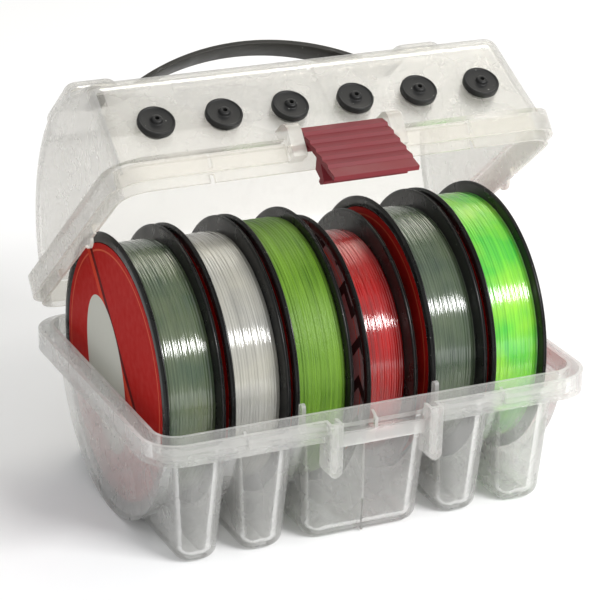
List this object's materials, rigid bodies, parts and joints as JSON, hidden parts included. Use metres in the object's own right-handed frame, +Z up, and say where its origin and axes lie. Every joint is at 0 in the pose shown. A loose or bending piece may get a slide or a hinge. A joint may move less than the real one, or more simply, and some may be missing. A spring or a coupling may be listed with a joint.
{
  "type": "fishing line spool box",
  "caption": "Clear hinged storage box with carrying strap, snap latch and line outlets, holding a row of filled fishing line spools that turn.",
  "frame": {"origin": "centre of the tray's base, on the surface its feet stand on", "axes": "+X along the box from the first spool to the sixth, +Y to the hinges at the back, +Z up"},
  "size_m": [0.178, 0.1464, 0.1627],
  "materials": {
    "clear_tray": "clear polypropylene, slightly hazy",
    "clear_lid": "clear polypropylene, slightly hazy",
    "latch_red": "dark red, satin",
    "strap_black": "soft black, matte",
    "outlet_rubber": "black, matte",
    "spool_black": "black, semi-gloss",
    "line_1": "grey-green monofilament",
    "line_2": "clear monofilament",
    "line_3": "moss-green braid, matte",
    "line_4": "red monofilament",
    "line_5": "grey-green monofilament",
    "line_6": "fluorescent green monofilament",
    "label_white": "printed paper",
    "label_red": "printed paper",
    "label_grey": "printed paper"
  },
  "bodies": {
    "tray_body": {"tray": "clear_tray"},
    "lid_body": {"lid": "clear_lid", "handle_strap": "strap_black", "line_outlet_1": "outlet_rubber", "line_outlet_2": "outlet_rubber", "line_outlet_3": "outlet_rubber", "line_outlet_4": "outlet_rubber", "line_outlet_5": "outlet_rubber", "line_outlet_6": "outlet_rubber"},
    "latch_body": {"latch": "latch_red"},
    "spool_1": {"spool_body_1": "spool_black", "line_1": "line_1", "label_left_1": "label_white", "label_right_1": "label_red"},
    "spool_2": {"spool_body_2": "spool_black", "line_2": "line_2", "label_left_2": "label_red", "label_right_2": "label_red"},
    "spool_3": {"spool_body_3": "spool_black", "line_3": "line_3", "label_left_3": "label_red", "label_right_3": "label_red"},
    "spool_4": {"spool_body_4": "spool_black", "line_4": "line_4", "label_left_4": "label_grey", "label_right_4": "label_grey"},
    "spool_5": {"spool_body_5": "spool_black", "line_5": "line_5", "label_left_5": "label_red", "label_right_5": "label_red"},
    "spool_6": {"spool_body_6": "spool_black", "line_6": "line_6", "label_left_6": "label_red", "label_right_6": "label_red"}
  },
  "joints": [
    {"name": "lid_hinge", "type": "hinge", "parent": "tray_body", "child": "lid_body", "pos_m": [0, 0.073, 0.0505], "axis": [-1, 0, 0], "range_deg": [-39.5, 65.5]},
    {"name": "latch_hinge", "type": "hinge", "parent": "lid_body", "child": "latch_body", "pos_m": [0, -0.02956, 0.14399], "axis": [-1, 0, 0], "range_deg": [-22, 24]},
    {"name": "spool_1_spin", "type": "hinge", "parent": "tray_body", "child": "spool_1", "pos_m": [-0.067, 0, 0.055], "axis": [-1, 0, 0], "continuous": true},
    {"name": "spool_2_spin", "type": "hinge", "parent": "tray_body", "child": "spool_2", "pos_m": [-0.0416, 0, 0.055], "axis": [-1, 0, 0], "continuous": true},
    {"name": "spool_3_spin", "type": "hinge", "parent": "tray_body", "child": "spool_3", "pos_m": [-0.0166, 0, 0.055], "axis": [-1, 0, 0], "continuous": true},
    {"name": "spool_4_spin", "type": "hinge", "parent": "tray_body", "child": "spool_4", "pos_m": [0.0117, 0, 0.0529], "axis": [-1, 0, 0], "continuous": true},
    {"name": "spool_5_spin", "type": "hinge", "parent": "tray_body", "child": "spool_5", "pos_m": [0.0382, 0, 0.055], "axis": [-1, 0, 0], "continuous": true},
    {"name": "spool_6_spin", "type": "hinge", "parent": "tray_body", "child": "spool_6", "pos_m": [0.0635, 0, 0.055], "axis": [-1, 0, 0], "continuous": true}
  ]
}
